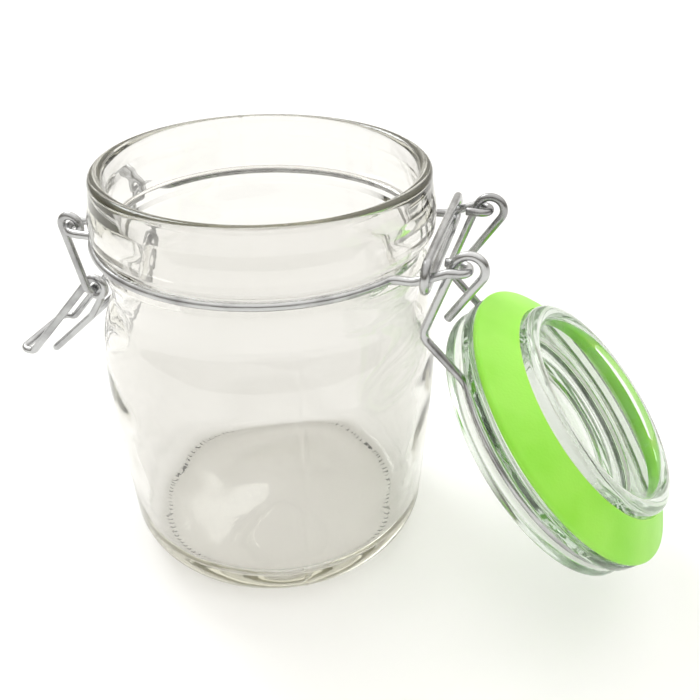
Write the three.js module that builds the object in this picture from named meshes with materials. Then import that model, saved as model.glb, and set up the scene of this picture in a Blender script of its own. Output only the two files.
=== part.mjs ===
// Clip-top glass jar, shown open: a glass jar, its glass lid with a rubber seal, and the sprung steel
// wires that hinge and clasp them. Millimetres, +Z up. The jar stands on z = 0 and is drawn round the
// Z axis, with the hinge towards +X and the clasp towards -X.
import * as THREE from 'three';

const wireDiameter = 2.2;
const wireRadius = wireDiameter / 2;
const wireSides = 8;

// Jar glass, heights above the table and radii from the axis
const jarHeight = 114;
const bearingRadius = 33;
const bearingWidth = 3.4;
const heelRadius = 12;
const sideRadius = bearingRadius + heelRadius;
const bellyRadius = 46.6;
const bellyHeight = 56;
const neckRadius = 41.6;
const neckHeight = 84.5;
const beadRadius = 43.3;
const beadHeight = 92.6;
const seatRadius = 42.7;
const seatHeight = 96.4;
const collarBottom = 98;
const collarRadius = 44.6;
const lipRadius = 43;
const lipThickness = 3.6;
const wallThickness = 3.4;
const floorHeight = 8;
const innerHeelRadius = 9;
const pushUp = 4;
const jarSegments = 52;

// Lid glass and seal, heights from a plane between the lid's flange and the jar's lip
const lidGap = 1.8;
const plugRadius = 30.8;
const plugDepth = 11.4;
const plugWall = 4.7;
const sealRadius = 40.4;
const sealThickness = 2.6;
const sealDrop = 1.2;
const sealSlope = THREE.MathUtils.degToRad(33);
const flangeRadius = 40.3;
const flangeBottom = 0.6;
const grooveBottom = 3.8;
const grooveTop = 6.8;
const grooveRadius = 35.9;
const lidRadius = 39.75;
const lidTop = 10;
const lidRecess = 8.3;
const hollowCeiling = 4.6;
const lidSegments = 48;

// Hinge: the neck wire's hooks, the link that ties them and the lid wire's arms
const pivotX = 56.3;
const pivotZ = 100.35;
const openAngle = THREE.MathUtils.degToRad(225.1);
const armSpread = 18.5;
const armEyeSlack = 0.5;
const hookZ = pivotZ - armEyeSlack;
const hookRadius = 2.6;
const hookReturn = 3.4;
const neckRingRadius = 44.2;
const linkX = 47.1;
const linkRise = 3.5;
const linkOverhang = 3;
const linkDrop = 1.6;
const lidRingRadius = 37.4;
const armElbowX = 49.5;
const armEyeRadius = 3.6;
const armTailEnd = [49.4, 113];

// Clasp: ears of the neck wire, the lever that hangs on them and the bail on the lever
const earSpread = 14.75;
const earRadius = 4.6;
const earReach = 49.2;
const earBend = 1.3;
const eyeRadius = 2.7;
const eyeSweep = THREE.MathUtils.degToRad(250);
const bailPivot = [-47.8, 76.5];
const gripSpread = 7.5;
const gripLine = [[-49.6, 70.4], [-53.6, 64.4], [-70.3, 49.2]];
const bailSpread = 11.1;
const bailLength = 37;
const bailSlope = THREE.MathUtils.degToRad(228.6);
const bailHook = 4;
const bailHookTurn = THREE.MathUtils.degToRad(50);

const glassMaterial = () => new THREE.MeshStandardMaterial({ color: 0xe4e2da, roughness: 0.05, metalness: 0 });
const rubberMaterial = () => new THREE.MeshStandardMaterial({ color: 0x7be02c, roughness: 0.55, metalness: 0 });
const steelMaterial = () => new THREE.MeshStandardMaterial({ color: 0xb9bcc0, roughness: 0.25, metalness: 1 });

const point2 = (r, z) => new THREE.Vector2(r, z);
const point3 = (x, y, z) => new THREE.Vector3(x, y, z);
const sideView = (y) => ([x, z]) => point3(x, y, z);

// Points on a circle in a plane of two coordinates, from one angle to another
function arcPoints(centre, radius, from, to, count) {
  return Array.from({ length: count + 1 }, (_, i) => {
    const angle = from + ((to - from) * i) / count;
    return [centre[0] + radius * Math.cos(angle), centre[1] + radius * Math.sin(angle)];
  });
}

// Angle at which a line from a point outside a circle touches it, on the chosen side
function touchAngle(outside, centre, radius, side) {
  const dx = outside[0] - centre[0];
  const dz = outside[1] - centre[1];
  return Math.atan2(dz, dx) + side * Math.acos(radius / Math.hypot(dx, dz));
}

// Polyline with each listed corner turned into a short arc of the given radius
function roundCorners(corners) {
  const points = [];
  corners.forEach(({ at, radius }, i) => {
    if (!radius) {
      points.push(at);
      return;
    }
    const back = corners[i - 1].at.clone().sub(at).normalize();
    const ahead = corners[i + 1].at.clone().sub(at).normalize();
    const turn = Math.PI - back.angleTo(ahead);
    const reach = radius * Math.tan(turn / 2);
    const centreLine = back.clone().add(ahead).normalize();
    const centre = at.clone().addScaledVector(centreLine, radius / Math.cos(turn / 2));
    const first = at.clone().addScaledVector(back, reach).sub(centre);
    const last = at.clone().addScaledVector(ahead, reach).sub(centre);
    const steps = Math.max(2, Math.ceil(turn / THREE.MathUtils.degToRad(24)));
    for (let k = 0; k <= steps; k += 1) {
      const share = (k / steps) * turn;
      const spoke = first.clone().multiplyScalar(Math.sin(turn - share) / Math.sin(turn));
      spoke.addScaledVector(last, Math.sin(share) / Math.sin(turn));
      points.push(centre.clone().add(spoke));
    }
  });
  return points;
}

// Bent wire: a path that visits given points, with its sections close together only in the bends
class BentWire extends THREE.Curve {
  constructor(points, closed = false) {
    super();
    this.points = points;
    this.closed = closed;
    this.steps = closed ? points.length : points.length - 1;
  }

  vertex(i) {
    const count = this.points.length;
    return this.points[this.closed ? (i + count) % count : THREE.MathUtils.clamp(i, 0, count - 1)];
  }

  getPointAt(u, target = new THREE.Vector3()) {
    return target.copy(this.vertex(Math.round(u * this.steps)));
  }

  getPoint(u, target) {
    return this.getPointAt(u, target);
  }

  getTangentAt(u, target = new THREE.Vector3()) {
    const i = Math.round(u * this.steps);
    const here = this.vertex(i);
    const before = here.clone().sub(this.vertex(i - 1)).normalize();
    const after = this.vertex(i + 1).clone().sub(here).normalize();
    return target.copy(before.add(after)).normalize();
  }
}

function wireGeometry(points) {
  const path = new BentWire(points);
  const section = new THREE.Shape(
    Array.from({ length: wireSides }, (_, i) => {
      const angle = (i / wireSides) * 2 * Math.PI;
      return point2(wireRadius * Math.cos(angle), wireRadius * Math.sin(angle));
    }),
  );
  return new THREE.ExtrudeGeometry(section, { steps: path.steps, extrudePath: path });
}

function wireLoopGeometry(points) {
  const path = new BentWire(points, true);
  return new THREE.TubeGeometry(path, path.steps, wireRadius, wireSides, true);
}

// The second half of a wire that is the same on both sides of the XZ plane
function withMirror(nearHalf) {
  const farHalf = nearHalf.map((p) => point3(p.x, -p.y, p.z)).reverse();
  return [...nearHalf, ...farHalf];
}

function turned(profile, segments) {
  return new THREE.LatheGeometry(profile, segments).rotateX(Math.PI / 2);
}

function piece(name, geometry, material) {
  const mesh = new THREE.Mesh(geometry, material);
  mesh.name = name;
  return mesh;
}

function jarProfile() {
  const arc = (centre, radius, from, to, count) =>
    arcPoints(centre, radius, from, to, count).map(([r, z]) => point2(r, z));
  const lipRounding = lipThickness / 2;
  const lipCentre = lipRadius - lipRounding;
  const outside = new THREE.SplineCurve([
    point2(sideRadius, heelRadius),
    point2(bellyRadius - 0.6, bellyHeight * 0.6),
    point2(bellyRadius, bellyHeight),
    point2(bellyRadius - 1.2, bellyHeight + 15),
    point2(neckRadius + 0.5, neckHeight - 4.3),
    point2(neckRadius, neckHeight),
    point2(beadRadius - 0.4, beadHeight - 2),
  ]);
  const inside = new THREE.SplineCurve([
    point2(lipRadius - lipThickness, jarHeight - lipRounding),
    point2(lipRadius - lipThickness, collarBottom),
    point2(neckRadius - wallThickness, neckHeight + 2),
    point2(neckRadius - wallThickness + 0.4, neckHeight - 4),
    point2(bellyRadius - wallThickness - 1, bellyHeight + 12),
    point2(bellyRadius - wallThickness, bellyHeight),
    point2(sideRadius - wallThickness, floorHeight + innerHeelRadius),
  ]);
  return [
    point2(0, pushUp),
    point2(bearingRadius * 0.45, pushUp - 0.3),
    point2(bearingRadius - bearingWidth - 3, pushUp - 1.8),
    point2(bearingRadius - bearingWidth, 0),
    ...arc([bearingRadius, heelRadius], heelRadius, -Math.PI / 2, 0, 6),
    ...outside.getPoints(14).slice(1),
    point2(beadRadius, beadHeight),
    point2(seatRadius, seatHeight - 1.6),
    point2(seatRadius, seatHeight + 1),
    point2(collarRadius - 0.8, collarBottom),
    point2(collarRadius, collarBottom + 1.4),
    point2(collarRadius, collarBottom + 6),
    point2(lipRadius + 0.5, jarHeight - 6),
    ...arc([lipCentre, jarHeight - lipRounding], lipRounding, 0, Math.PI, 6),
    ...inside.getPoints(12).slice(1),
    ...arc(
      [sideRadius - wallThickness - innerHeelRadius, floorHeight + innerHeelRadius],
      innerHeelRadius, 0, -Math.PI / 2, 4,
    ).slice(1),
    point2(0, floorHeight - 0.5),
  ];
}

function lidProfile() {
  const plugRounding = plugWall / 2;
  const rim = (centre, from, to) =>
    arcPoints(centre, (lidTop - grooveTop) / 2, from, to, 4).map(([r, z]) => point2(r, z));
  const plugEdge = arcPoints(
    [plugRadius - plugRounding, plugRounding - plugDepth], plugRounding, -Math.PI, 0, 6,
  ).map(([r, z]) => point2(r, z));
  const rimCentre = [lidRadius - (lidTop - grooveTop) / 2, (lidTop + grooveTop) / 2];
  return [
    point2(0, hollowCeiling),
    point2(plugRadius - plugWall - 2, hollowCeiling),
    point2(plugRadius - plugWall, hollowCeiling - 2),
    ...plugEdge,
    point2(plugRadius + 0.2, flangeBottom),
    point2(flangeRadius - 0.5, flangeBottom),
    point2(flangeRadius, flangeBottom + 0.5),
    point2(flangeRadius, grooveBottom - 0.5),
    point2(flangeRadius - 0.5, grooveBottom),
    point2(grooveRadius, grooveBottom),
    point2(grooveRadius, grooveTop),
    ...rim(rimCentre, -Math.PI / 2, Math.PI / 2),
    point2(lidRadius - 4, lidTop - 0.3),
    point2(lidRadius - 6, lidRecess),
    point2(0, lidRecess + 0.4),
  ];
}

// The seal is dished: it slopes from its edge at the jar's lip down the plug
function sealProfile() {
  const rounding = sealThickness / 2;
  const innerRadius = plugRadius + 0.4;
  const edgeCentre = [sealRadius - rounding, -sealDrop];
  const quarter = Math.PI / 2;
  const edge = arcPoints(edgeCentre, rounding, sealSlope - quarter, sealSlope + quarter, 5);
  const alongSlope = ([r, z]) => point2(innerRadius, z - (r - innerRadius) * Math.tan(sealSlope));
  const start = alongSlope(edge[0]);
  return [start, ...edge.map(([r, z]) => point2(r, z)), alongSlope(edge.at(-1)), start.clone()];
}

// Ring of wire round the neck, with hooks at the hinge and a U-shaped ear each side of the clasp
function neckWirePoints() {
  const hookX = pivotX - hookRadius;
  const nearY = -armSpread - hookRadius;
  const hook = arcPoints([hookX, -armSpread], hookRadius, Math.PI / 2, -Math.PI / 2, 8);
  const ringStart = Math.asin(nearY / neckRingRadius);
  const earOuter = earSpread + earRadius;
  const earInner = earSpread - earRadius;
  const ringEnd = -Math.PI + Math.asin(earOuter / neckRingRadius);
  const ringPoint = ([x, y]) => point3(x, y, seatHeight);
  const ring = arcPoints([0, 0], neckRingRadius, ringStart, ringEnd, 20).map(ringPoint);
  const ear = arcPoints([-earReach + earRadius, -earSpread], earRadius, -Math.PI / 2, -3 * Math.PI / 2, 8);
  const bridgeStart = -Math.PI + Math.asin(earInner / neckRingRadius);
  const bridge = arcPoints([0, 0], neckRingRadius, bridgeStart, -Math.PI, 3).map(ringPoint);
  const toRing = roundCorners([
    { at: point3(hookX - 2, nearY, hookZ - 0.2) },
    { at: point3(neckRingRadius, nearY, seatHeight), radius: 6 },
    { at: ring[0], radius: 3 },
    { at: ring[1] },
  ]).slice(0, -1);
  const toEar = roundCorners([
    { at: ring.at(-2) },
    { at: ring.at(-1), radius: 3 },
    { at: ringPoint(ear[0]) },
  ]).slice(1, -1);
  const fromEar = roundCorners([
    { at: ringPoint(ear.at(-1)) },
    { at: bridge[0], radius: earBend },
    { at: bridge[1] },
  ]).slice(1, -1);
  const nearHalf = [
    point3(hookX - hookReturn, -armSpread + hookRadius, hookZ),
    ...hook.map(([x, y]) => point3(x, y, hookZ)),
    ...toRing,
    ...ring.slice(1, -1),
    ...toEar,
    ...ear.map(ringPoint),
    ...fromEar,
    ...bridge.slice(1),
  ];
  return withMirror(nearHalf.slice(0, -1)).toSpliced(nearHalf.length - 1, 0, nearHalf.at(-1));
}

// Oval loop that holds the two hooks of the neck wire together
function hingeLinkPoints() {
  const endY = armSpread + hookRadius + linkOverhang - linkRise;
  const half = (side, from) =>
    arcPoints([side * endY, hookZ - linkDrop], linkRise, from, from + Math.PI, 8)
      .map(([y, z]) => point3(linkX, y, z));
  return [...half(1, -Math.PI / 2), ...half(-1, Math.PI / 2)];
}

// Ring of wire in the lid's groove, whose two arms end in eyes on the hooks; drawn with the lid shut
function lidWirePoints(lidPlane) {
  const ringHeight = lidPlane + (grooveBottom + grooveTop) / 2;
  const nearSide = sideView(-armSpread);
  const eyeCentre = [
    pivotX + armEyeSlack * Math.sin(openAngle),
    pivotZ - armEyeSlack * Math.cos(openAngle),
  ];
  const elbow = [armElbowX, ringHeight];
  const legTouch = touchAngle(elbow, eyeCentre, armEyeRadius, -1);
  const tailTouch = touchAngle(armTailEnd, eyeCentre, armEyeRadius, 1);
  const eye = arcPoints(eyeCentre, armEyeRadius, tailTouch, legTouch + 2 * Math.PI, 12).map(nearSide);
  const ringStart = -Math.asin(armSpread / lidRingRadius);
  const ring = arcPoints([0, 0], lidRingRadius, ringStart, -Math.PI, 22)
    .map(([x, y]) => point3(x, y, ringHeight));
  const arm = roundCorners([
    { at: eye.at(-1) },
    { at: nearSide(elbow), radius: 3.5 },
    { at: ring[0], radius: 4 },
    { at: ring[1] },
  ]).slice(1, -1);
  const nearHalf = [nearSide(armTailEnd), ...eye, ...arm, ...ring.slice(1, -1)];
  return withMirror(nearHalf).toSpliced(nearHalf.length, 0, ring.at(-1));
}

// Lever: an eye on each ear, a crank down to the bail's pivot, then the bent grip
function leverPoints() {
  const eyeCentre = [-earReach, seatHeight];
  const crankSide = sideView(-earSpread);
  const gripSide = sideView(-gripSpread);
  const touch = touchAngle(bailPivot, eyeCentre, eyeRadius, -1);
  const eye = arcPoints(eyeCentre, eyeRadius, touch - eyeSweep, touch, 9).map(crankSide);
  const rest = roundCorners([
    { at: eye.at(-1) },
    { at: crankSide(bailPivot), radius: 1.8 },
    { at: gripSide(bailPivot), radius: 1.8 },
    { at: gripSide(gripLine[0]), radius: 6 },
    { at: gripSide(gripLine[1]), radius: 5 },
    { at: gripSide(gripLine[2]), radius: 3.5 },
    { at: point3(gripLine[2][0], 0, gripLine[2][1]) },
  ]);
  return withMirror([...eye, ...rest.slice(1, -1)]);
}

// Bail: a loop of wire with an eye on each crank of the lever and a bent edge that hooks the lid
function bailPoints() {
  const along = [Math.cos(bailSlope), Math.sin(bailSlope)];
  const upper = [along[1], -along[0]];
  const onEdge = sideView(-bailSpread);
  const start = [bailPivot[0] + eyeRadius * upper[0], bailPivot[1] + eyeRadius * upper[1]];
  const startAngle = Math.atan2(upper[1], upper[0]);
  const eye = arcPoints(bailPivot, eyeRadius, startAngle - eyeSweep, startAngle, 9).map(onEdge);
  const bend = [start[0] + bailLength * along[0], start[1] + bailLength * along[1]];
  const hookSlope = bailSlope - bailHookTurn;
  const tip = [bend[0] + bailHook * Math.cos(hookSlope), bend[1] + bailHook * Math.sin(hookSlope)];
  const rest = roundCorners([
    { at: eye.at(-1) },
    { at: onEdge(bend), radius: 2 },
    { at: onEdge(tip), radius: 2.4 },
    { at: point3(tip[0], 0, tip[1]) },
  ]);
  return withMirror([...eye, ...rest.slice(1, -1)]);
}

const lidPlane = jarHeight + lidGap;
const jarGroup = new THREE.Group();
jarGroup.add(piece('jar', turned(jarProfile(), jarSegments), glassMaterial()));
jarGroup.add(piece('neck_wire', wireGeometry(neckWirePoints()), steelMaterial()));
jarGroup.add(piece('hinge_link', wireLoopGeometry(hingeLinkPoints()), steelMaterial()));
jarGroup.add(piece('lever', wireGeometry(leverPoints()), steelMaterial()));
jarGroup.add(piece('bail', wireGeometry(bailPoints()), steelMaterial()));

// The lid is drawn shut round the jar's axis, inside a group that swings it open at the hinge
const lidHinge = new THREE.Group();
lidHinge.position.set(pivotX, 0, pivotZ);
lidHinge.rotation.y = openAngle;
const shutLid = new THREE.Group();
shutLid.position.set(-pivotX, 0, -pivotZ);
const lidGlass = piece('lid_glass', turned(lidProfile(), lidSegments), glassMaterial());
const seal = piece('gasket', turned(sealProfile(), lidSegments), rubberMaterial());
lidGlass.position.z = lidPlane;
seal.position.z = lidPlane;
shutLid.add(lidGlass, seal, piece('lid_wire', wireGeometry(lidWirePoints(lidPlane)), steelMaterial()));
lidHinge.add(shutLid);

// The origin is on the table under the middle of the whole, so the jar's axis is a little off it
const clipTopJar = new THREE.Group();
clipTopJar.add(jarGroup, lidHinge);
const extent = new THREE.Box3().setFromObject(clipTopJar, true);
clipTopJar.position.x = -extent.getCenter(new THREE.Vector3()).x;

export default clipTopJar;
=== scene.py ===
import math
import bpy
from mathutils import Matrix, Vector


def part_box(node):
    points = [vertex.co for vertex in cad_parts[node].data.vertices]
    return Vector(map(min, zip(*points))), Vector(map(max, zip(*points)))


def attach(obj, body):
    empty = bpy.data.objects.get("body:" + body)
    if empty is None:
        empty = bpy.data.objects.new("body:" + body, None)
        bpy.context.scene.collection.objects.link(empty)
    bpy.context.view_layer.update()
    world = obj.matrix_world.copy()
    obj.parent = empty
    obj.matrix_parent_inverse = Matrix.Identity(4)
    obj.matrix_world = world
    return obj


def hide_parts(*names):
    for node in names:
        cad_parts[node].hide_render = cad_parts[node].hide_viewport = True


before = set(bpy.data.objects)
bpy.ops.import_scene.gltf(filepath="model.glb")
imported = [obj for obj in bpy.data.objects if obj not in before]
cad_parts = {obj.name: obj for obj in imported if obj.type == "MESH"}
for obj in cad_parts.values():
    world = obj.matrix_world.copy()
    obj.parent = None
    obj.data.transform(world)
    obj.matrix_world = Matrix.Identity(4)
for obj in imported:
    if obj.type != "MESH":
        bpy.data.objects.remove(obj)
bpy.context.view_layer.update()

# Open clip-top jar: clear glass, bright wire, lime seal. Lengths are in millimetres until meshMade.
mm = 0.001
jarLow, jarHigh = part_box("jar")
axisX = (jarLow[0] + jarHigh[0]) / 2 / mm  # the jar's axis, off the frame's origin
print("frame loaded, jar axis at x", round(axisX, 2), "mm")


def arcPoints(centre, radius, start, end, count):
    spots = []
    for i in range(count + 1):
        a = start + (end - start) * i / count
        spots.append((centre[0] + radius * math.cos(a), centre[1] + radius * math.sin(a)))
    return spots


def throughPoints(spots, perSpan):
    # smooth curve through a few outline points
    ends = [spots[0]] + list(spots) + [spots[-1]]
    out = []
    for i in range(1, len(ends) - 2):
        p0, p1, p2, p3 = (Vector(ends[k]) for k in (i - 1, i, i + 1, i + 2))
        for k in range(perSpan):
            t = k / perSpan
            v0 = (p2 - p0) * 0.5
            v1 = (p3 - p1) * 0.5
            out.append((2 * p1 - 2 * p2 + v0 + v1) * t ** 3
                       + (-3 * p1 + 3 * p2 - 2 * v0 - v1) * t ** 2 + v0 * t + p1)
    out.append(Vector(spots[-1]))
    return [tuple(p) for p in out]


def roundCorners(corners, stepDegrees=8):
    # corners are (point, bend radius), a radius of 0 keeps the point as it is
    out = []
    for i, (at, radius) in enumerate(corners):
        at = Vector(at)
        if not radius:
            out.append(at)
            continue
        back = (Vector(corners[i - 1][0]) - at).normalized()
        ahead = (Vector(corners[i + 1][0]) - at).normalized()
        turn = math.pi - back.angle(ahead)
        reach = radius * math.tan(turn / 2)
        middle = at + (back + ahead).normalized() * (radius / math.cos(turn / 2))
        first = at + back * reach - middle
        last = at + ahead * reach - middle
        steps = max(2, math.ceil(math.degrees(turn) / stepDegrees))
        for k in range(steps + 1):
            share = turn * k / steps
            spoke = (first * math.sin(turn - share) + last * math.sin(share)) / math.sin(turn)
            out.append(middle + spoke)
    return out


def roundOutline(corners, stepDegrees=8):
    flat = [((r, z, 0), radius) for r, z, radius in corners]
    return [(p.x, p.y) for p in roundCorners(flat, stepDegrees)]


def meshMade(name, verts, faces, turn=None):
    # millimetres round the jar's axis to metres in the frame
    toFrame = Matrix.Translation((axisX * mm, 0, 0)) @ Matrix.Scale(mm, 4)
    if turn is not None:
        toFrame = toFrame @ turn
    mesh = bpy.data.meshes.new(name)
    mesh.from_pydata([toFrame @ Vector(v) for v in verts], [], faces)
    mesh.validate()
    mesh.polygons.foreach_set("use_smooth", [True] * len(mesh.polygons))
    piece = bpy.data.objects.new(name, mesh)
    bpy.context.collection.objects.link(piece)
    return piece


def turnedPiece(name, outline, segments, turn=None, worked=None):
    # spins an outline of (radius, height) round the axis, worked() may move a point a little
    verts = []
    rings = []
    for i, (r, z) in enumerate(outline):
        if r < 1e-6:
            rings.append([len(verts)] * segments)
            verts.append((0, 0, z))
            continue
        rings.append(list(range(len(verts), len(verts) + segments)))
        for k in range(segments):
            a = 2 * math.pi * k / segments
            rr, zz = worked(r, z, a, i) if worked else (r, z)
            verts.append((rr * math.cos(a), rr * math.sin(a), zz))
    faces = []
    for low, high in zip(rings, rings[1:]):
        for k in range(segments):
            n = (k + 1) % segments
            quad = [low[k], low[n], high[n], high[k]]
            faces.append([v for j, v in enumerate(quad) if v != quad[j - 1]])
    return meshMade(name, verts, faces, turn)


def wirePiece(name, points, radius, closed=False, turn=None, sides=16):
    # round wire along a path, with its cut ends slightly broken
    path = [Vector(p) for p in points]
    count = len(path)
    tangents = []
    for i in range(count):
        before = path[i - 1] if closed or i > 0 else path[i]
        after = path[(i + 1) % count] if closed or i < count - 1 else path[i]
        back = (path[i] - before).normalized() if before != path[i] else Vector()
        ahead = (after - path[i]).normalized() if after != path[i] else Vector()
        tangents.append((back + ahead).normalized())
    side = tangents[0].orthogonal().normalized()
    verts = []
    rings = []

    def addRing(at, tangent, size):
        across = side - tangent * side.dot(tangent)
        across.normalize()
        up = tangent.cross(across)
        rings.append(range(len(verts), len(verts) + sides))
        for k in range(sides):
            a = 2 * math.pi * k / sides
            verts.append(at + (across * math.cos(a) + up * math.sin(a)) * size)
        return across

    chamfer = radius * wireLook["brokenEdge"]
    if not closed:
        addRing(path[0], tangents[0], radius - chamfer)
        path[0] = path[0] + tangents[0] * chamfer
        path[-1] = path[-1] - tangents[-1] * chamfer
    for at, tangent in zip(path, tangents):
        side = addRing(at, tangent, radius)
    if not closed:
        addRing(path[-1] + tangents[-1] * chamfer, tangents[-1], radius - chamfer)
    faces = []
    lengths = [0.0]
    pairs = list(zip(rings, rings[1:]))
    if closed:
        pairs.append((rings[-1], rings[0]))
    for low, high in pairs:
        lengths.append(lengths[-1] + (Vector(verts[high[0]]) - Vector(verts[low[0]])).length)
        for k in range(sides):
            n = (k + 1) % sides
            faces.append([low[k], low[n], high[n], high[k]])
    if not closed:
        faces.append(list(reversed(rings[0])))
        faces.append(list(rings[-1]))
    piece = meshMade(name, verts, faces, turn)
    # the drawn grain follows the wire: u runs along it, v round it
    along = piece.data.uv_layers.new(name="along")
    for p in piece.data.polygons:
        ring = min(p.index // sides, len(lengths) - 2)
        k = p.index % sides
        capped = len(p.loop_indices) != 4
        places = [(0, 0), (0, 1), (1, 1), (1, 0)]
        for j, loop in enumerate(p.loop_indices):
            step, turnStep = (0, 0) if capped else places[j]
            run = lengths[ring + step] * wireLook["grainPerMm"]
            along.data[loop].uv = (run, (k + turnStep) / sides)
    return piece


def node(tree, kind, label, **values):
    made = tree.nodes.new("ShaderNode" + kind)
    made.label = label
    for key, value in values.items():
        made.inputs[key.replace("_", " ")].default_value = value
    return made


def newMaterial(name):
    material = bpy.data.materials.new(name)
    material.use_nodes = True
    tree = material.node_tree
    tree.nodes.clear()
    out = node(tree, "OutputMaterial", "out")
    shader = node(tree, "BsdfPrincipled", name)
    tree.links.new(shader.outputs["BSDF"], out.inputs["Surface"])
    return material, tree, shader, out


def ramp(tree, label, places, colours):
    made = tree.nodes.new("ShaderNodeValToRGB")
    made.label = label
    for stop, place, colour in zip(made.color_ramp.elements, places, colours):
        stop.position = place
        stop.color = colour
    return made


# Glass: soda glass, a trace of olive in the thick edges, a slight unevenness from the mould. The jar's and
# lid's tints are partly the glass's own colour and partly painted shade, darkened for the table seen
# through them
glassLook = {
    "ior": 1.51,
    # the two tints: the glass's slight grey-green, darkened further as painted shade of the table seen
    # through the glass
    "jarTintAndShade": (0.866, 0.861, 0.853, 1),
    "jarEdge": (0.80, 0.795, 0.735, 1),
    "lidTintAndShade": (0.880, 0.893, 0.878, 1),
    "lidEdge": (0.77, 0.83, 0.765, 1),
    "tintDensity": 34.0,
    "waveSize": 55.0,
    "waveHeight": 0.00035,
    "peelSize": 420.0,
    "peelHeight": 0.000007,
    "lidWaves": 0.5,  # the pressed lid is truer than the blown jar
}


def mouldedGlass(name, tintAndShade, edgeColour, waveShare=1.0):
    look = glassLook
    material, tree, shader, out = newMaterial(name)
    # the base colour carries painted shade as well as the glass's own slight tint
    shader.inputs["Base Color"].default_value = tintAndShade
    shader.inputs["Transmission Weight"].default_value = 1
    shader.inputs["IOR"].default_value = look["ior"]
    shader.inputs["Roughness"].default_value = 0
    place = node(tree, "TexCoord", "on the glass")
    wave = node(tree, "TexNoise", "mould waves", Scale=look["waveSize"], Detail=1.0)
    peel = node(tree, "TexNoise", "chilled skin", Scale=look["peelSize"], Detail=2.0)
    for texture in (wave, peel):
        tree.links.new(place.outputs["Object"], texture.inputs["Vector"])
    waveBump = node(tree, "Bump", "waves", Distance=look["waveHeight"] * waveShare)
    peelBump = node(tree, "Bump", "skin", Distance=look["peelHeight"])
    tree.links.new(wave.outputs["Fac"], waveBump.inputs["Height"])
    tree.links.new(peel.outputs["Fac"], peelBump.inputs["Height"])
    tree.links.new(waveBump.outputs["Normal"], peelBump.inputs["Normal"])
    tree.links.new(peelBump.outputs["Normal"], shader.inputs["Normal"])
    tint = node(tree, "VolumeAbsorption", "edge tint", Color=edgeColour, Density=look["tintDensity"])
    tree.links.new(tint.outputs["Volume"], out.inputs["Volume"])
    return material


# Wire: bright drawn steel, with fine lines along it and duller patches from handling
wireLook = {
    "diameter": 2.2,
    "brokenEdge": 0.16,  # share of the radius taken off a cut end
    "bright": (0.54, 0.545, 0.55, 1),
    "dull": (0.34, 0.34, 0.345, 1),
    "patchSize": 90.0,
    "patchEdge": (0.36, 0.58),
    "roughness": (0.14, 0.34),
    "grainPerMm": 0.1,
    "lineStretch": (0.35, 26.0, 1.0),
    "lineSize": 3.0,
    "lineDepth": 0.00003,
}


def drawnWire():
    look = wireLook
    material, tree, shader, out = newMaterial("drawnWire")
    shader.inputs["Metallic"].default_value = 1
    along = node(tree, "UVMap", "along the wire")
    along.uv_map = "along"
    stretch = node(tree, "Mapping", "drawn out", Scale=look["lineStretch"])
    lines = node(tree, "TexNoise", "draw lines", Scale=look["lineSize"], Detail=5.0, Roughness=0.65)
    tree.links.new(along.outputs["UV"], stretch.inputs["Vector"])
    tree.links.new(stretch.outputs["Vector"], lines.inputs["Vector"])
    place = node(tree, "TexCoord", "on the wire")
    patch = node(tree, "TexNoise", "handling", Scale=look["patchSize"], Detail=3.0, Roughness=0.55)
    tree.links.new(place.outputs["Object"], patch.inputs["Vector"])
    metal = ramp(tree, "dull to bright", look["patchEdge"], (look["dull"], look["bright"]))
    tree.links.new(patch.outputs["Fac"], metal.inputs["Fac"])
    tree.links.new(metal.outputs["Color"], shader.inputs["Base Color"])
    smooth, rough = look["roughness"]
    polish = node(tree, "MapRange", "polish", From_Min=0.3, From_Max=0.75, To_Min=smooth, To_Max=rough)
    tree.links.new(lines.outputs["Fac"], polish.inputs["Value"])
    tree.links.new(polish.outputs["Result"], shader.inputs["Roughness"])
    bump = node(tree, "Bump", "draw lines", Distance=look["lineDepth"])
    tree.links.new(lines.outputs["Fac"], bump.inputs["Height"])
    tree.links.new(bump.outputs["Normal"], shader.inputs["Normal"])
    return material


# Seal: soft lime rubber, slightly see-through at its edge
sealLook = {
    "lime": (0.37, 0.83, 0.09, 1),
    "deep": (0.30, 0.77, 0.05, 1),
    "pigmentSize": 70.0,
    "pigmentEdge": (0.3, 0.62),
    "roughness": 0.42,
    "gloss": 0.4,
    "glow": 0.35,  # share of the light that spreads inside the rubber
    "glowReach": (0.6, 1.0, 0.25),
    "glowDepth": 0.0016,
    "grainSize": 1600.0,
    "grain": 0.00004,
}


def limeRubber():
    look = sealLook
    material, tree, shader, out = newMaterial("limeRubber")
    shader.inputs["Roughness"].default_value = look["roughness"]
    shader.inputs["Subsurface Weight"].default_value = look["glow"]
    shader.inputs["Subsurface Radius"].default_value = look["glowReach"]
    shader.inputs["Subsurface Scale"].default_value = look["glowDepth"]
    shader.inputs["Specular IOR Level"].default_value = look["gloss"]
    place = node(tree, "TexCoord", "on the seal")
    cloud = node(tree, "TexNoise", "pigment", Scale=look["pigmentSize"], Detail=2.0)
    fine = node(tree, "TexNoise", "rubber skin", Scale=look["grainSize"], Detail=3.0)
    for texture in (cloud, fine):
        tree.links.new(place.outputs["Object"], texture.inputs["Vector"])
    colour = ramp(tree, "deep to lime", look["pigmentEdge"], (look["deep"], look["lime"]))
    tree.links.new(cloud.outputs["Fac"], colour.inputs["Fac"])
    tree.links.new(colour.outputs["Color"], shader.inputs["Base Color"])
    bump = node(tree, "Bump", "rubber skin", Distance=look["grain"])
    tree.links.new(fine.outputs["Fac"], bump.inputs["Height"])
    tree.links.new(bump.outputs["Normal"], shader.inputs["Normal"])
    return material


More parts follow.
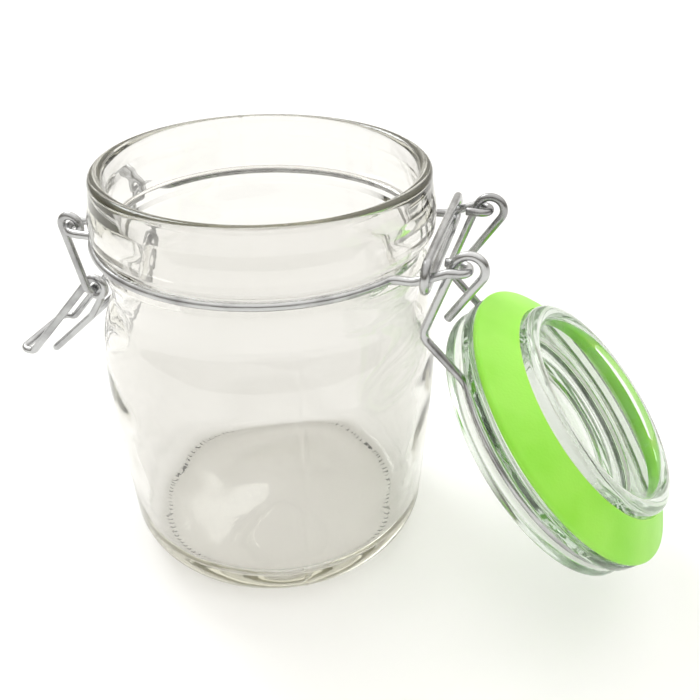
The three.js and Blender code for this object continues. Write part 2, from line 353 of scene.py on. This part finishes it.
jarGlass = mouldedGlass("jarGlass", glassLook["jarTintAndShade"], glassLook["jarEdge"])
lidGlass = mouldedGlass("lidGlass", glassLook["lidTintAndShade"], glassLook["lidEdge"], glassLook["lidWaves"])
wireSteel = drawnWire()
sealRubber = limeRubber()
print("materials made: glass, wire, seal")


def finished(piece, material, body, slot, *nodes):
    piece.data.materials.append(material)
    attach(piece, body)
    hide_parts(*nodes)
    return piece


# Jar: heights above the table, radii from its axis
jar = {
    "height": 114,
    "bearingRadius": 33,
    "bearingWidth": 3.4,
    "heel": 12,
    "lowerSide": (46.0, 33.6),
    "belly": (46.6, 56),
    "shoulder": (45.4, 71),
    "underNeck": (42.1, 80.2),
    "neck": (41.6, 84.5),
    "underBead": (42.9, 90.6),
    # radius, height and rounding: the bead, the wire's seat, then the collar up to the lip
    "collarCorners": [
        (43.3, 92.6, 1.6), (42.7, 94.8, 1.2), (42.7, 97.4, 0.5), (43.8, 98, 0.5),
        (44.6, 99.4, 1.2), (44.6, 104, 9), (43.5, 108, 5)],
    "seatHeight": 96.4,
    "collarBottom": 98,
    "lip": 43,
    "lipThickness": 3.6,
    "wall": 3.4,
    "floor": 8,
    "floorDish": 0.5,
    "innerHeel": 6.5,
    "pushUp": 2.6,
    "seams": (-60, 120),  # degrees, where the two halves of the mould met
    "seamHeight": 0.22,
    "seamWidth": 0.45,
    "seamFade": 6,  # the fire-polished lip has no seam
    "footHeight": 3,
    "knurls": 120,  # a ring of dots round the foot
    "knurlHeight": 0.5,
    "knurlBand": (35.2, 38.0),
    "unevenness": 0.11,
    "floorShare": 0.6,  # how much of the unevenness shows in the floor's height
    # share, turns round the jar, lean with height and start of each wave inside
    "waves": [(1.0, 3, 0.06, 0.7), (0.7, 5, -0.11, 2.1), (0.5, 8, 0.17, 4.0), (0.6, 2, 0.31, 0.0)],
    "calmFloor": 12,  # no waves inside this radius of the floor
    "calmLip": 8,  # nor this near the lip
    "segments": 720,
}


def jarOutline():
    j = jar
    side = j["bearingRadius"] + j["heel"]
    bellyR, bellyZ = j["belly"]
    neckR, neckZ = j["neck"]
    lipRound = j["lipThickness"] / 2
    mouth = j["lip"] - j["lipThickness"]
    edge = j["bearingRadius"] - j["bearingWidth"]
    dome = [(edge * k / 20, j["pushUp"] * (0.5 + 0.5 * math.cos(math.pi * k / 20))) for k in range(21)]
    under = dome + [(edge + 1, 0), (edge + 2.2, 0)]
    heel = arcPoints((j["bearingRadius"], j["heel"]), j["heel"], -math.pi / 2, 0, 48)
    outside = throughPoints([
        (side, j["heel"]), j["lowerSide"], j["belly"], j["shoulder"], j["underNeck"], j["neck"],
        j["underBead"]], 7)
    collar = roundOutline([
        (*j["underBead"], 0), *j["collarCorners"], (j["lip"], j["height"] - lipRound, 0)], 10)
    lip = arcPoints((j["lip"] - lipRound, j["height"] - lipRound), lipRound, 0, math.pi, 16)
    # the inside follows the outside at the wall's thickness, more softly at the neck
    inside = throughPoints([
        (mouth, j["height"] - lipRound),
        (mouth, j["collarBottom"]),
        (neckR - j["wall"], neckZ + 2),
        (neckR - j["wall"] + 0.4, neckZ - 4),
        (bellyR - j["wall"] - 1, bellyZ + 12),
        (bellyR - j["wall"], bellyZ),
        (side - j["wall"], j["floor"] + j["innerHeel"])], 7)
    heelCentre = (side - j["wall"] - j["innerHeel"], j["floor"] + j["innerHeel"])
    innerHeel = arcPoints(heelCentre, j["innerHeel"], 0, -math.pi / 2, 18)
    floor = [(heelCentre[0] * (1 - k / 12), j["floor"] - j["floorDish"] * k / 12) for k in range(1, 13)]
    outer = under + heel[1:] + outside[1:] + collar[1:]
    return outer, outer + lip[1:] + inside[1:] + innerHeel[1:] + floor


outerOutline, wholeOutline = jarOutline()


def workedJar(r, z, a, i):
    # dots round the foot and a fine seam outside, soft waves inside
    j = jar
    low, high = j["knurlBand"]
    if i < len(outerOutline):
        if z < j["footHeight"] and low < r < high:
            window = math.sin(math.pi * (r - low) / (high - low)) ** 2
            z -= j["knurlHeight"] * window * (0.5 - 0.5 * math.cos(j["knurls"] * a))
        if z > j["footHeight"]:
            fade = min(1, (j["height"] - z) / j["seamFade"])
            for seam in j["seams"]:
                off = math.remainder(a - math.radians(seam), 2 * math.pi) * r
                r += j["seamHeight"] * math.exp(-(off / j["seamWidth"]) ** 2) * fade
        return r, z
    if r < j["calmFloor"] or z > j["height"] - j["calmLip"]:
        return r, z
    wave = sum(share * math.sin(turns * a + lean * z + start) for share, turns, lean, start in j["waves"])
    wave *= j["unevenness"] * min(1, r / j["calmFloor"] - 1)
    onFloor = z < j["floor"] + 1
    return r + wave, z + wave * j["floorShare"] * onFloor


jarPiece = turnedPiece("jarBody", wholeOutline, jar["segments"], worked=workedJar)
finished(jarPiece, jarGlass, "jar_body", "glass", "jar")
print("jar turned,", len(jarPiece.data.polygons), "faces")

# Wires: the neck wire with its hooks, link and ears, then the clasp's lever and bail
hinge = {
    "pivot": (56.3, 100.35),
    "openAngle": math.radians(225.1),
    "armSpread": 18.5,
    "eyeSlack": 0.5,  # the eye hangs this far below the pivot when open
    "hookRadius": 2.6,
    "hookReturn": 3.4,
    "hookLead": (2, 0.2),  # how far the wire comes straight in from a hook, and down
    "leadBend": 6,
    "ringBend": 3,
    "ringRadius": 44.2,
    "linkX": 47.1,
    "linkRise": 3.5,
    "linkOverhang": 3,
    "linkDrop": 1.6,
}
clasp = {
    "earSpread": 14.75,
    "earRadius": 4.6,
    "earReach": 49.2,
    "earBend": 1.3,
    "eyeRadius": 2.7,
    "eyeSweep": math.radians(250),
    "bailPivot": (-47.8, 76.5),
    "pivotBend": 1.8,
    "gripSpread": 7.5,
    "gripLine": [(-49.6, 70.4), (-53.6, 64.4), (-70.3, 49.2)],
    "gripBends": (6, 5, 3.5),
    "bailSpread": 11.1,
    "bailBends": (2, 2.4),
    "bailLength": 37,
    "bailSlope": math.radians(228.6),
    "bailHook": 4,
    "bailHookTurn": math.radians(50),
}
wireRadius = wireLook["diameter"] / 2


def mirrored(nearHalf, middle=None):
    farHalf = [Vector((p[0], -p[1], p[2])) for p in reversed(nearHalf)]
    return list(nearHalf) + ([middle] if middle is not None else []) + farHalf


def atSide(spots, y):
    return [Vector((x, y, z)) for x, z in spots]


def touchAngle(outside, centre, radius, side):
    # where a straight leg from a point outside runs into a round eye
    dx, dz = outside[0] - centre[0], outside[1] - centre[1]
    return math.atan2(dz, dx) + side * math.acos(radius / math.hypot(dx, dz))


def neckWirePath():
    h, c = hinge, clasp
    seatZ = jar["seatHeight"]
    pivotX, pivotZ = h["pivot"]
    hookX, hookZ = pivotX - h["hookRadius"], pivotZ - h["eyeSlack"]
    nearY = -h["armSpread"] - h["hookRadius"]
    ring = h["ringRadius"]
    onSeat = lambda spots: [Vector((x, y, seatZ)) for x, y in spots]
    hook = arcPoints((hookX, -h["armSpread"]), h["hookRadius"], math.pi / 2, -math.pi / 2, 20)
    hook = [Vector((x, y, hookZ)) for x, y in hook]
    outerLeg = c["earSpread"] + c["earRadius"]
    innerLeg = c["earSpread"] - c["earRadius"]
    hingeEnd, earEnd = math.asin(nearY / ring), math.asin(outerLeg / ring) - math.pi
    roundNeck = onSeat(arcPoints((0, 0), ring, hingeEnd, earEnd, 20))
    ear = onSeat(arcPoints((c["earRadius"] - c["earReach"], -c["earSpread"]), c["earRadius"],
                           -math.pi / 2, -1.5 * math.pi, 22))
    bridge = onSeat(arcPoints((0, 0), ring, math.asin(innerLeg / ring) - math.pi, -math.pi, 3))
    leadIn, leadDown = h["hookLead"]
    toRing = roundCorners([
        (Vector((hookX - leadIn, nearY, hookZ - leadDown)), 0),
        (Vector((ring, nearY, seatZ)), h["leadBend"]),
        (roundNeck[0], h["ringBend"]), (roundNeck[1], 0)])[:-1]
    toEar = roundCorners([(roundNeck[-2], 0), (roundNeck[-1], h["ringBend"]), (ear[0], 0)])[1:-1]
    fromEar = roundCorners([(ear[-1], 0), (bridge[0], c["earBend"]), (bridge[1], 0)])[1:-1]
    smoothRing = onSeat(arcPoints((0, 0), ring, math.atan2(roundNeck[1].y, roundNeck[1].x),
                                  math.atan2(roundNeck[-2].y, roundNeck[-2].x), 90))
    smoothBridge = onSeat(arcPoints((0, 0), ring, math.atan2(bridge[1].y, bridge[1].x), -math.pi, 8))
    start = Vector((hookX - h["hookReturn"], -h["armSpread"] + h["hookRadius"], hookZ))
    nearHalf = [start] + hook + toRing + smoothRing + toEar + ear + fromEar + smoothBridge[:-1]
    return mirrored(nearHalf, smoothBridge[-1])


def linkPath():
    h = hinge
    endY = h["armSpread"] + h["hookRadius"] + h["linkOverhang"] - h["linkRise"]
    z = h["pivot"][1] - h["eyeSlack"] - h["linkDrop"]
    loop = arcPoints((endY, z), h["linkRise"], -math.pi / 2, math.pi / 2, 20)
    loop += arcPoints((-endY, z), h["linkRise"], math.pi / 2, 1.5 * math.pi, 20)
    return [Vector((h["linkX"], y, z)) for y, z in loop]


# Lid: heights from a plane between its flange and the lip, drawn shut and then swung open
lid = {
    "plane": 115.8,
    "plug": 30.8,
    "plugDepth": 11.4,
    "plugWall": 4.7,
    "plugDraft": 0.2,
    "seal": 40.4,
    "sealThickness": 2.6,
    "sealDrop": 1.2,
    "sealSlope": math.radians(33),
    "flange": 40.3,
    "flangeBottom": 0.6,
    "flangeRounding": 0.8,
    "grooveBottom": 3.8,
    "grooveTop": 6.8,
    "groove": 35.9,
    "grooveRounding": 0.9,
    "rim": 39.75,
    "top": 10,
    "recess": 8.3,
    "recessEdge": (4, 6),  # the recess starts and is full this far in from the rim
    "ceiling": 4.6,
    # the hollow's steps: in from the plug's mouth, down from the ceiling, rounding
    "hollowSteps": [(6.4, 0, 1.0), (5.6, 1.2, 0.8), (3.4, 2.2, 1.4)],
    "ringRadius": 37.4,
    "ringBend": 4,
    "elbowX": 49.5,
    "elbowBend": 3.5,
    "eyeRadius": 3.6,
    "tailEnd": (49.4, 113),
    "segments": 360,
}


def swungOpen():
    px, pz = hinge["pivot"]
    there = Matrix.Translation((px, 0, pz))
    return there @ Matrix.Rotation(hinge["openAngle"], 4, "Y") @ there.inverted()


def lidOutline():
    d = lid
    plugRound = d["plugWall"] / 2
    rimRound = (d["top"] - d["grooveTop"]) / 2
    inner = d["plug"] - d["plugWall"]
    plugEnd = plugRound - d["plugDepth"]
    steps = [(inner - inward, d["ceiling"] - down, rounding) for inward, down, rounding in d["hollowSteps"]]
    hollow = roundOutline([(0, d["ceiling"], 0), *steps, (inner, plugEnd, 0)])
    plugEdge = arcPoints((d["plug"] - plugRound, plugEnd), plugRound, -math.pi, 0, 22)
    neck = roundOutline([
        (d["plug"], plugEnd, 0),
        (d["plug"] + d["plugDraft"], d["flangeBottom"], d["flangeRounding"] / 2),
        (d["flange"], d["flangeBottom"], d["flangeRounding"]),
        (d["flange"], d["grooveBottom"], d["flangeRounding"]),
        (d["groove"], d["grooveBottom"], d["grooveRounding"]),
        (d["groove"], d["grooveTop"], d["grooveRounding"]),
        (d["rim"] - rimRound, d["grooveTop"], 0)], 12)
    rim = arcPoints((d["rim"] - rimRound, d["top"] - rimRound), rimRound, -math.pi / 2, math.pi / 2, 16)
    slopeStart, slopeEnd = d["recessEdge"]
    top = roundOutline([
        (d["rim"] - rimRound, d["top"], 0), (d["rim"] - slopeStart, d["top"] - 0.3, 3),
        (d["rim"] - slopeEnd, d["recess"], 3), (0, d["recess"] + 0.4, 0)])
    return hollow + plugEdge[1:] + neck[1:] + rim[1:] + top[1:]


def raised(outline):
    return [(r, z + lid["plane"]) for r, z in outline]


def sealOutline():
    # dished ring: it slopes from its edge at the lip down the plug
    d = lid
    rounding = d["sealThickness"] / 2
    inner = d["plug"] + 0.4
    centre = (d["seal"] - rounding, -d["sealDrop"])
    edge = arcPoints(centre, rounding, d["sealSlope"] - math.pi / 2, d["sealSlope"] + math.pi / 2, 18)
    rise = lambda spot: spot[1] - (spot[0] - inner) * math.tan(d["sealSlope"])
    low, high = rise(edge[0]), rise(edge[-1])
    lower = [(inner + (edge[0][0] - inner) * k / 6, low + (edge[0][1] - low) * k / 6) for k in range(6)]
    return lower + edge + [(inner + 0.3, high + 0.15), (inner, high), (inner, low)]


def lidWirePath():
    d, h = lid, hinge
    z = d["plane"] + (d["grooveBottom"] + d["grooveTop"]) / 2
    pivotX, pivotZ = h["pivot"]
    y = -h["armSpread"]
    slack, swing = h["eyeSlack"], h["openAngle"]
    eyeCentre = (pivotX + slack * math.sin(swing), pivotZ - slack * math.cos(swing))
    elbow = (d["elbowX"], z)
    legTouch = touchAngle(elbow, eyeCentre, d["eyeRadius"], -1)
    tailTouch = touchAngle(d["tailEnd"], eyeCentre, d["eyeRadius"], 1)
    eye = atSide(arcPoints(eyeCentre, d["eyeRadius"], tailTouch, legTouch + 2 * math.pi, 36), y)
    ringStart = -math.asin(h["armSpread"] / d["ringRadius"])
    coarse = arcPoints((0, 0), d["ringRadius"], ringStart, -math.pi, 22)
    arm = roundCorners([
        (eye[-1], 0), (Vector((elbow[0], y, z)), d["elbowBend"]), (Vector((*coarse[0], z)), d["ringBend"]),
        (Vector((*coarse[1], z)), 0)])[1:-1]
    ring = arcPoints((0, 0), d["ringRadius"], math.atan2(coarse[1][1], coarse[1][0]), -math.pi, 84)
    ring = [Vector((x, yy, z)) for x, yy in ring]
    return mirrored(atSide([d["tailEnd"]], y) + eye + arm + ring[:-1], ring[-1])


def leverPath():
    c = clasp
    eyeCentre = (-c["earReach"], jar["seatHeight"])
    touch = touchAngle(c["bailPivot"], eyeCentre, c["eyeRadius"], -1)
    eye = atSide(arcPoints(eyeCentre, c["eyeRadius"], touch - c["eyeSweep"], touch, 30), -c["earSpread"])
    across = [atSide([c["bailPivot"]], y)[0] for y in (-c["earSpread"], -c["gripSpread"])]
    grip = atSide(c["gripLine"], -c["gripSpread"])
    end = c["gripLine"][-1]
    rest = roundCorners([
        (eye[-1], 0), *((spot, c["pivotBend"]) for spot in across),
        *zip(grip, c["gripBends"]), (Vector((end[0], 0, end[1])), 0)])
    return mirrored(eye + rest[1:-1])


def bailPath():
    c = clasp
    along = (math.cos(c["bailSlope"]), math.sin(c["bailSlope"]))
    upper = (along[1], -along[0])
    pivot = c["bailPivot"]
    start = (pivot[0] + c["eyeRadius"] * upper[0], pivot[1] + c["eyeRadius"] * upper[1])
    startAngle = math.atan2(upper[1], upper[0])
    eye = arcPoints(pivot, c["eyeRadius"], startAngle - c["eyeSweep"], startAngle, 30)
    eye = atSide(eye, -c["bailSpread"])
    bend = (start[0] + c["bailLength"] * along[0], start[1] + c["bailLength"] * along[1])
    slope = c["bailSlope"] - c["bailHookTurn"]
    tip = (bend[0] + c["bailHook"] * math.cos(slope), bend[1] + c["bailHook"] * math.sin(slope))
    rest = roundCorners([
        (eye[-1], 0), *zip(atSide([bend, tip], -c["bailSpread"]), c["bailBends"]),
        (Vector((tip[0], 0, tip[1])), 0)])
    return mirrored(eye + rest[1:-1])


openLid = swungOpen()
neckPiece = wirePiece("neckRing", neckWirePath(), wireRadius)
finished(neckPiece, wireSteel, "jar_body", "wire", "neck_wire")
linkPiece = wirePiece("hingeLoop", linkPath(), wireRadius, closed=True)
finished(linkPiece, wireSteel, "jar_body", "wire", "hinge_link")
leverPiece = wirePiece("claspLever", leverPath(), wireRadius)
finished(leverPiece, wireSteel, "lever_body", "wire", "lever")
bailPiece = wirePiece("claspBail", bailPath(), wireRadius)
finished(bailPiece, wireSteel, "bail_body", "wire", "bail")
lidWirePiece = wirePiece("lidRing", lidWirePath(), wireRadius, turn=openLid)
finished(lidWirePiece, wireSteel, "lid", "wire", "lid_wire")
print("wires bent: neck, link, lid, lever, bail")
lidPiece = turnedPiece("lidBody", raised(lidOutline()), lid["segments"], turn=openLid)
finished(lidPiece, lidGlass, "lid", "glass", "lid_glass")
sealPiece = turnedPiece("sealRing", raised(sealOutline()), lid["segments"], turn=openLid)
finished(sealPiece, sealRubber, "lid", "seal", "gasket")
print("lid and seal turned and swung open")

# Pale table in a plain room: dim warm walls, a wide ceiling light, a pale backdrop and a small window
studio = {
    "tableSize": 6.0,
    "tableGap": 0.0002,  # a hair under the foot, so that glass and table don't share a face
    "tableColour": (0.92, 0.92, 0.917, 1),
    "tableRoughness": 0.6,
    "tableGloss": 0.2,
    "walls": (0.18, 0.168, 0.14, 1),
    # each light: colour, strength, where it is, and how far round it starts and is full
    "lights": {
        "ceiling": ((1.0, 0.995, 0.985, 1), 1.13, (0, 0, 1), (0.15, 0.85)),
        "window": ((0.95, 0.98, 1.0, 1), 7.0, (-0.60, 0.42, 0.68), (0.975, 0.990)),
        "backdrop": ((1.0, 0.99, 0.96, 1), 0.55, (-0.1, 1.0, 0.15), (-0.2, 0.8)),
    },
}


def paleTable():
    half = studio["tableSize"] / 2
    drop = -studio["tableGap"]
    mesh = bpy.data.meshes.new("paleTable")
    corners = [(x * half, y * half, drop) for x, y in ((-1, -1), (1, -1), (1, 1), (-1, 1))]
    mesh.from_pydata(corners, [], [(0, 1, 2, 3)])
    table = bpy.data.objects.new("paleTable", mesh)
    bpy.context.collection.objects.link(table)
    material, tree, shader, out = newMaterial("paleTable")
    shader.inputs["Base Color"].default_value = studio["tableColour"]
    shader.inputs["Roughness"].default_value = studio["tableRoughness"]
    shader.inputs["Specular IOR Level"].default_value = studio["tableGloss"]
    mesh.materials.append(material)


def plainRoom():
    look = studio
    world = bpy.data.worlds.new("plainRoom")
    bpy.context.scene.world = world
    world.use_nodes = True
    tree = world.node_tree
    tree.nodes.clear()
    out = node(tree, "OutputWorld", "out")
    place = node(tree, "TexCoord", "direction")
    lit = node(tree, "Background", "walls", Color=look["walls"]).outputs["Background"]
    for label, (colour, strength, towards, edge) in look["lights"].items():
        facing = node(tree, "VectorMath", "towards the " + label)
        facing.operation = "DOT_PRODUCT"
        facing.inputs[1].default_value = Vector(towards).normalized()
        fade = node(tree, "MapRange", label + " fade", From_Min=edge[0], From_Max=edge[1], To_Max=strength)
        fade.interpolation_type = "SMOOTHSTEP"
        glow = node(tree, "Background", label, Color=colour)
        both = node(tree, "AddShader", "with the " + label)
        tree.links.new(place.outputs["Generated"], facing.inputs[0])
        tree.links.new(facing.outputs["Value"], fade.inputs["Value"])
        tree.links.new(fade.outputs["Result"], glow.inputs["Strength"])
        tree.links.new(lit, both.inputs[0])
        tree.links.new(glow.outputs["Background"], both.inputs[1])
        lit = both.outputs["Shader"]
    tree.links.new(lit, out.inputs["Surface"])


# Close view from above, as the photograph was taken
view = {
    "place": (73.08, -176.98, 178.51),  # millimetres from the jar's foot
    "right": (0.96175, 0.27389, 0.00411),
    "up": (-0.15050, 0.51582, 0.84337),
    "lens": 39.8,
    "sensor": 36,
    "nearest": 0.01,
}


def photoCamera():
    camera = bpy.data.cameras.new("photoCamera")
    camera.lens = view["lens"]
    camera.sensor_width = view["sensor"]
    camera.clip_start = view["nearest"]
    holder = bpy.data.objects.new("photoCamera", camera)
    bpy.context.collection.objects.link(holder)
    right = Vector(view["right"]).normalized()
    up = Vector(view["up"]).normalized()
    back = right.cross(up)
    place = Vector(view["place"]) + Vector((axisX, 0, 0))
    turn = Matrix((right, up, back)).transposed().to_4x4()
    holder.matrix_world = Matrix.Translation(place * mm) @ turn
    bpy.context.scene.camera = holder


paleTable()
plainRoom()
photoCamera()
bpy.context.scene.view_settings.view_transform = "Standard"
# light stays sharp through the glass and turns often enough inside it, so edges and base aren't dulled
paths = bpy.context.scene.cycles
paths.blur_glossy = 0
paths.max_bounces = 32
paths.transmission_bounces = 28
paths.glossy_bounces = 28
print("table, light and camera set")
